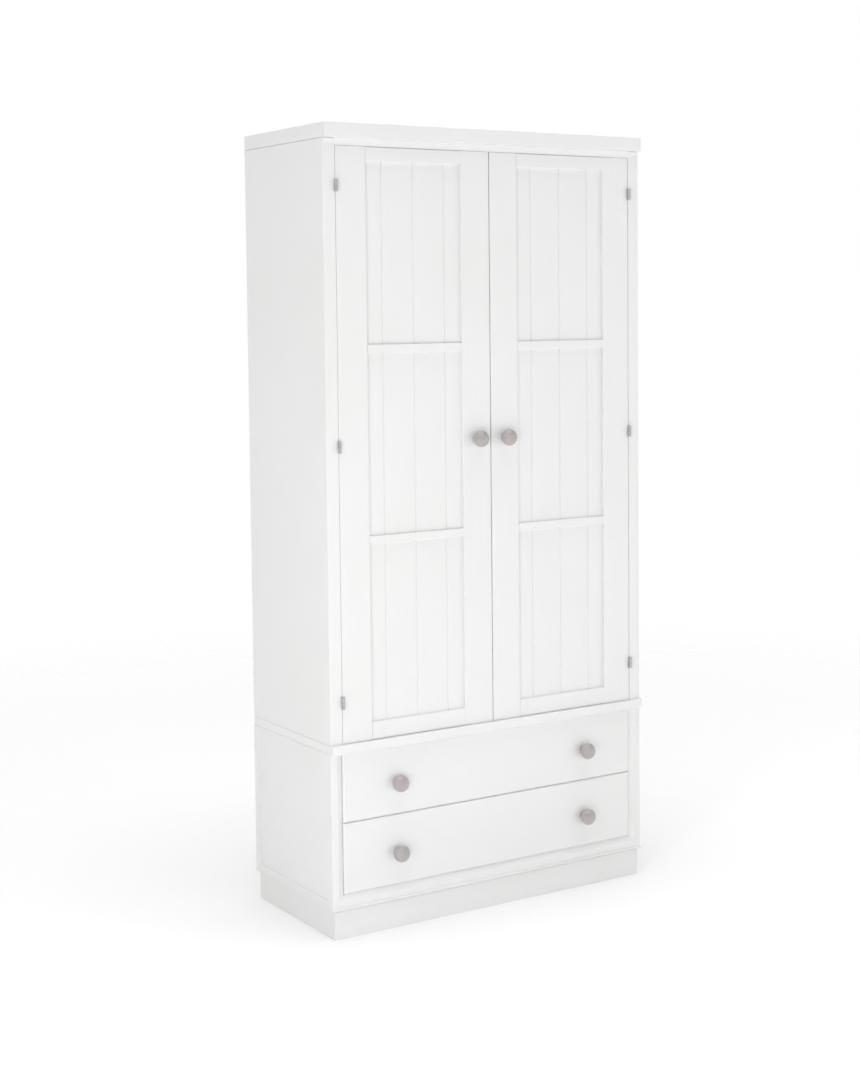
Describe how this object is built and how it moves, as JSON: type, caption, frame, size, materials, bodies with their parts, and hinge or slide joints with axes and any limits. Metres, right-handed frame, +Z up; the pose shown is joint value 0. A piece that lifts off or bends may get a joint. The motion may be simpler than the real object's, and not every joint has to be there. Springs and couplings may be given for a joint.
{
  "type": "wardrobe with doors and drawers",
  "caption": "White painted freestanding wardrobe: inset panelled doors over a drawer base on a plinth, round knobs, with hat shelf and hanging rail",
  "frame": {"origin": "on the floor, in the middle of the width and of the whole depth including the knobs", "axes": "+X along the width to the right seen from the front, -Y out of the front with the doors, +Z up"},
  "size_m": [0.915, 0.427, 1.9],
  "materials": {
    "white_paint": "satin white paint on timber",
    "white_inside": "matt white paint on board",
    "painted_knob": "taupe satin paint on turned wood",
    "steel": "satin steel",
    "chromed_steel": "polished chrome plate",
    "catch_plastic": "white moulded plastic",
    "drawer_timber": "clear lacquered pale timber"
  },
  "bodies": {
    "carcass": {"base_back": "white_inside", "base_bottom_rail": "white_paint", "base_floor": "white_paint", "base_post_left": "white_paint", "base_post_right": "white_paint", "base_side_left": "white_paint", "base_side_right": "white_paint", "base_top_board": "white_paint", "drawer_runners": "drawer_timber", "hanging_rail": "chromed_steel", "hat_shelf": "white_inside", "head_rail": "white_paint", "hinge_frame_leaves": "steel", "hinge_pins": "steel", "magnet_catches": "catch_plastic", "plinth_back": "white_paint", "plinth_front": "white_paint", "plinth_left": "white_paint", "plinth_right": "white_paint", "rail_sockets": "chromed_steel", "shelf_cleats": "white_inside", "top_board": "white_paint", "upper_back": "white_inside", "upper_post_left": "white_paint", "upper_post_right": "white_paint", "upper_side_left": "white_paint", "upper_side_right": "white_paint"},
    "door_left": {"door_left_bottom_rail": "white_paint", "door_left_hinge_leaves": "steel", "door_left_hinge_stile": "white_paint", "door_left_knob": "painted_knob", "door_left_lower_panel": "white_paint", "door_left_meeting_stile": "white_paint", "door_left_mid_rails": "white_paint", "door_left_middle_panel": "white_paint", "door_left_strike_plate": "steel", "door_left_top_rail": "white_paint", "door_left_upper_panel": "white_paint"},
    "door_right": {"door_right_bottom_rail": "white_paint", "door_right_hinge_leaves": "steel", "door_right_hinge_stile": "white_paint", "door_right_knob": "painted_knob", "door_right_lower_panel": "white_paint", "door_right_meeting_stile": "white_paint", "door_right_mid_rails": "white_paint", "door_right_middle_panel": "white_paint", "door_right_strike_plate": "steel", "door_right_top_rail": "white_paint", "door_right_upper_panel": "white_paint"},
    "drawer_upper": {"drawer_upper_back": "drawer_timber", "drawer_upper_bottom": "drawer_timber", "drawer_upper_front": "white_paint", "drawer_upper_knobs": "painted_knob", "drawer_upper_sides": "drawer_timber"},
    "drawer_lower": {"drawer_lower_back": "drawer_timber", "drawer_lower_bottom": "drawer_timber", "drawer_lower_front": "white_paint", "drawer_lower_knobs": "painted_knob", "drawer_lower_sides": "drawer_timber"}
  },
  "joints": [
    {"name": "door_left_hinge", "type": "hinge", "parent": "carcass", "child": "door_left", "pos_m": [-0.4244, -0.1833, 1.1575], "axis": [0, 0, -1], "range_deg": [0, 110]},
    {"name": "door_right_hinge", "type": "hinge", "parent": "carcass", "child": "door_right", "pos_m": [0.4244, -0.1833, 1.1575], "axis": [0, 0, 1], "range_deg": [0, 110]},
    {"name": "drawer_upper_slide", "type": "slide", "parent": "carcass", "child": "drawer_upper", "axis": [0, -1, 0], "range_m": [0, 0.28]},
    {"name": "drawer_lower_slide", "type": "slide", "parent": "carcass", "child": "drawer_lower", "axis": [0, -1, 0], "range_m": [0, 0.28]}
  ]
}
